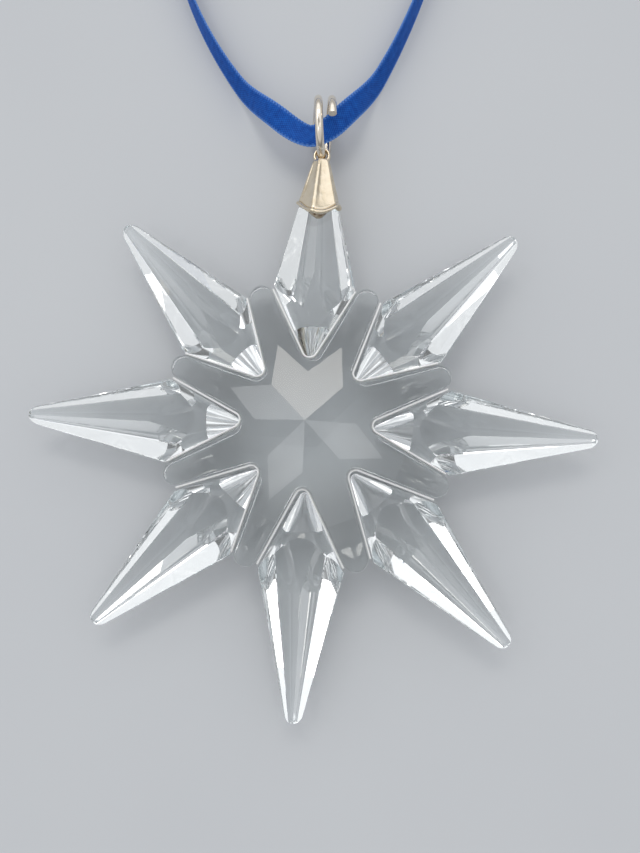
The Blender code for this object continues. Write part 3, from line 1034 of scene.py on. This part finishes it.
def woven_band(shape, frames, width, thick):
    # Flat band with a crowned face; its map is in millimetres, across and along
    across = 10
    edge, crown, shoulder = 0.3, 0.5, 0.18  # shares of half the thickness
    rings = []
    runs = []
    far = 0.0
    for i, (place, wide, face) in enumerate(frames):
        if i:
            far += (place - frames[i - 1][0]).length
        runs.append(far / MM)
        ring = []
        for way in (1.0, -1.0):
            for j in range(across + 1):
                share = way * (2.0 * j / across - 1.0)
                swell = (1.0 - share ** 4) * crown + shoulder * (1.0 - abs(share) ** 12)
                lift = face * way * thick / 2.0 * min(1.0, swell + edge)
                ring.append(place + wide * share * width / 2.0 + lift)
        rings.append(ring)
    rows = skin_over(shape, rings)
    layer = shape.loops.layers.uv.get("UVMap") or shape.loops.layers.uv.new("UVMap")
    here = {}
    half = across + 1
    for row, run in zip(rows, runs):
        for k, vert in enumerate(row):
            share = 2.0 * (k % half) / across - 1.0
            share = share if k < half else -share
            here[vert] = (1.0 + share * width / RIBBON_WIDTH, run)
    for vert, place in here.items():
        for loop in vert.link_loops:
            loop[layer].uv = place


def ribbon_knot(*runs):
    # Overhand knot: both legs run in and are squeezed narrow, wound over themselves and pulled
    # tight, with two cut ends
    squeeze = 0.45              # share of its width that a leg loses on its way in
    lobe = 1.7                  # second wave against the first, which makes three loops
    flat, tall = 0.33, 0.34     # shares of the knot's half sizes
    band_width, band_thick = 0.62 * RIBBON_WIDTH, 2.2 * RIBBON_THICK
    apart, lift = 0.3 * KNOT_HALF.x, 0.6 * RIBBON_THICK
    turns, tail_steps = 150, 40
    shape = bmesh.new()
    for run in runs:
        squeezed = [
            (p, w * (1.0 - squeeze * i / len(run)), f)
            for i, (p, w, f) in enumerate(run)
        ]
        woven_band(shape, squeezed, RIBBON_WIDTH - 2.0 * WEFT_TURN, RIBBON_THICK)
    line = []
    for i in range(turns + 1):
        t = 2.0 * math.pi * i / turns
        x = math.sin(t) + lobe * math.sin(2.0 * t)
        y = math.cos(t) - lobe * math.cos(2.0 * t)
        z = -math.sin(3.0 * t)
        line.append(KNOT + Vector((
            flat * KNOT_HALF.x * x,
            flat * KNOT_HALF.y * y,
            tall * KNOT_HALF.z * z,
        )))
    frames = []
    for i, place in enumerate(line):
        ahead = (line[(i + 1) % turns] - line[(i - 1) % turns]).normalized()
        out = (place - KNOT).normalized()
        wide = ahead.cross(out).normalized()
        frames.append((place, wide, ahead.cross(wide)))
    woven_band(shape, frames, band_width, band_thick)
    for side in (-1.0, 1.0):
        tail = []
        for i in range(tail_steps + 1):
            t = i / tail_steps
            out = side * (apart + TAIL_SPREAD * t * t)
            ahead = t * (TAIL_LENGTH + KNOT_HALF.y)
            tail.append((KNOT + Vector((out, ahead, side * lift)), 0.0))
        woven_band(shape, frames_along(tail), 0.93 * RIBBON_WIDTH, RIBBON_THICK)
    face_out(shape)
    return meshed("ribbon_knot_tied", shape)


def softbox(name, azimuth, elevation, size, radiance, colour):
    # Oblong lamp aimed at the star; its power follows from how bright its face looks
    far = 0.6
    lamp = bpy.data.lights.new(name, "AREA")
    lamp.shape = "RECTANGLE"
    lamp.size, lamp.size_y = size
    lamp.energy = radiance * math.pi * size[0] * size[1]
    lamp.color = tone(colour)[:3]
    made = bpy.data.objects.new(name, lamp)
    turn, rise = math.radians(azimuth), math.radians(elevation)
    made.location = polar(far * math.cos(rise), turn, far * math.sin(rise))
    made.rotation_euler = (-made.location).to_track_quat("-Z", "Y").to_euler()
    bpy.context.scene.collection.objects.link(made)


def studio():
    # Soft light all round, stronger from the far side, which the long bevels turn to the eye.
    # Little comes from straight above and less from near the floor, so that edges and metal
    # have something dark to show. The softboxes light every other facet of the centre star,
    # and its cut shows.
    far_side, even = polar(0.4, math.radians(110.0)), 1.02
    world = bpy.data.worlds.new("studio")
    world.use_nodes = True
    tree = world.node_tree
    where = grow(tree, "ShaderNodeTexCoord")
    cut = grow(tree, "ShaderNodeSeparateXYZ", {"Vector": where.outputs["Generated"]})
    around = grow(tree, "ShaderNodeVectorMath", {
        0: where.outputs["Generated"],
        1: far_side,
    }, operation="DOT_PRODUCT")
    around = grow(tree, "ShaderNodeMath", {
        0: around.outputs["Value"],
        1: even,
    }, operation="ADD")
    overhead = grow(tree, "ShaderNodeMapRange", {
        "Value": cut.outputs["Z"],
        "From Min": 0.955,
        "From Max": 0.985,
        "To Min": 1.0,
        "To Max": 0.2,
    }, interpolation_type="SMOOTHSTEP")
    horizon = grow(tree, "ShaderNodeMapRange", {
        "Value": cut.outputs["Z"],
        "From Min": 0.2,
        "From Max": 0.5,
        "To Min": 0.4,
        "To Max": 1.0,
    }, interpolation_type="SMOOTHSTEP")
    open_sky = grow(tree, "ShaderNodeMath", {
        0: horizon.outputs["Result"],
        1: overhead.outputs["Result"],
    }, operation="MULTIPLY")
    level = grow(tree, "ShaderNodeMath", {
        0: around.outputs[0],
        1: open_sky.outputs[0],
    }, operation="MULTIPLY")
    sky = tree.nodes["Background"]
    sky.inputs["Color"].default_value = tone("#F8F9FB")
    tree.links.new(level.outputs[0], sky.inputs["Strength"])
    bpy.context.scene.world = world
    for lamp in SOFTBOXES:
        softbox(*lamp)


def pale_floor(stuff):
    # Wide square just under the star's back
    half, height = 2.5, -0.02 * MM
    shape = bmesh.new()
    corners = ((-1, -1), (1, -1), (1, 1), (-1, 1))
    shape.faces.new([shape.verts.new((x * half, y * half, height)) for x, y in corners])
    floor = put("pale_floor", meshed("pale_floor", shape), stuff)


def viewpoint():
    # Almost straight above the star, as close as a hand-held camera
    eye = Vector((3.35, -5.72, 55.9)) * MM
    aim = Vector((0.966, 0.067, 3.2)) * MM
    roll = math.radians(2.8)
    ahead = (aim - eye).normalized()
    right = ahead.cross(Vector((-math.sin(roll), math.cos(roll), 0.0))).normalized()
    up = right.cross(ahead)
    lens = bpy.data.cameras.new("photo_view")
    lens.sensor_fit = "HORIZONTAL"
    lens.sensor_width = 36.0
    lens.lens = 36.84
    lens.clip_start = 1.0 * MM
    made = bpy.data.objects.new("photo_view", lens)
    made.matrix_world = Matrix((
        (right.x, up.x, -ahead.x, eye.x),
        (right.y, up.y, -ahead.y, eye.y),
        (right.z, up.z, -ahead.z, eye.z),
        (0.0, 0.0, 0.0, 1.0),
    ))
    bpy.context.scene.collection.objects.link(made)
    bpy.context.scene.camera = made


def dress(piece, body, slot, *nodes):
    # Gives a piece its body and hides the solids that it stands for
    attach(piece, body)
    if nodes:
        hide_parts(*nodes)


def main():
    scene = bpy.context.scene
    scene.view_settings.view_transform = "Standard"
    scene.cycles.max_bounces = BOUNCES
    scene.cycles.glossy_bounces = BOUNCES
    scene.cycles.transmission_bounces = BOUNCES
    viewpoint()
    studio()
    pale_floor(pale_board())

    # Ribbon: one length through the ring, both ends in the knot
    satin = satin_ribbon()
    left, left_run = ribbon_leg(
        (-RIBBON_FOLD, 0.0, 0.0),
        (-LOOP_LEFT, -LEFT_PULL * LOOP_LENGTH, 0.0),
    )
    right, right_run = ribbon_leg(
        (RIBBON_SWEEP, 0.0, 0.0),
        (LOOP_RIGHT, -RIGHT_PULL * LOOP_LENGTH, 0.0),
    )
    frames = frames_along(left[:0:-1] + right)
    shape = bmesh.new()
    woven_band(shape, frames, RIBBON_WIDTH - 2.0 * WEFT_TURN, RIBBON_THICK)
    face_out(shape)
    inset = RIBBON_WIDTH / 2.0 - WEFT_TURN
    edges = plan_line("ribbon_edges", [
        [p + w * side * inset for p, w, f in frames] for side in (-1.0, 1.0)
    ])
    ribbon = run_tree("ribbon_woven", selvedge_tree(), {
        "Edges": edges,
        "Pitch": WEFT_PITCH,
        "Turn size": (WEFT_TURN, WEFT_TURN, WEFT_LENGTH),
        "Finish": satin,
    }, meshed("ribbon_woven", shape))
    drop(edges)
    dress(ribbon, "ring", "blue_ribbon", "ribbon")
    runs = frames_along(left_run[::-1])[::-1], frames_along(right_run)
    knot = put("ribbon_knot_tied", ribbon_knot(*runs), satin)
    dress(knot, "ring", "blue_ribbon", "ribbon_knot")
    path = [p for p, w, f in frames]

    # Stones and the resin between them
    crystal = cut_crystal()
    star = put("centre_star_cut", centre_star(), crystal)
    dress(star, "star", "clear_crystal", "centre_star")
    round_star = round_star_tree()
    stone = put("one_stone", meshed("one_stone", point_stone()))
    points = run_tree("point_stones", round_star, {
        "Shape": stone,
        "Count": POINTS - 1,
        "First turn": math.pi / 2.0 - STEP,
        "Step": -STEP,
        "Finish": crystal,
    })
    drop(stone)
    dress(points, "star", "clear_crystal", *["point_%d" % n for n in range(2, POINTS + 1)])
    stone = put("one_stone", meshed("one_stone", point_stone(UPPER_END, UPPER_ROLL)))
    upper = run_tree("capped_stone", round_star, {
        "Shape": stone,
        "Count": 1,
        "First turn": math.pi / 2.0,
        "Step": 0.0,
        "Finish": crystal,
    })
    drop(stone)
    dress(upper, "star", "clear_crystal", "point_1")
    swept = swept_tree()
    resin = resin_painted_as_edge_highlight()
    path = plan_line("notch_path", [notch_path()], upright=True)
    section = plan_line("seam_section", [seam_section()], closed=True)
    bead = run_tree("one_bead", swept, {"Path": path, "Section": section, "Finish": resin})
    beads = run_tree("seam_beads", round_star, {
        "Shape": bead,
        "Count": POINTS,
        "First turn": math.pi / 2.0,
        "Step": STEP,
        "Finish": resin,
    })
    drop(path, section, bead)
    turn_out(beads)
    dress(beads, "star", "clear_crystal")

    # Metalwork
    casting = put("cap_casting", cap(), plated_casting())
    dress(casting, "star", "silver_metal", "cap")
    filling = put("cap_filling", cap_filling(), cap_adhesive())
    dress(filling, "star", "clear_crystal")
    steps, sides = 220, 28
    whole = RING_BACK_END - RING_FRONT_END
    turns = [RING_FRONT_END + whole * i / steps for i in range(steps + 1)]
    path = plan_line("ring_path", [[ring_line(t) for t in turns]])
    rounds = [polar(RING_WIRE / 2.0, 2.0 * math.pi * k / sides) for k in range(sides)]
    section = plan_line("wire_section", [rounds], closed=True)
    wire = run_tree("split_ring_wire", swept, {
        "Path": path,
        "Section": section,
        "Finish": plated_wire(),
    })
    drop(path, section)
    dress(wire, "ring", "silver_metal", "split_ring")


main()
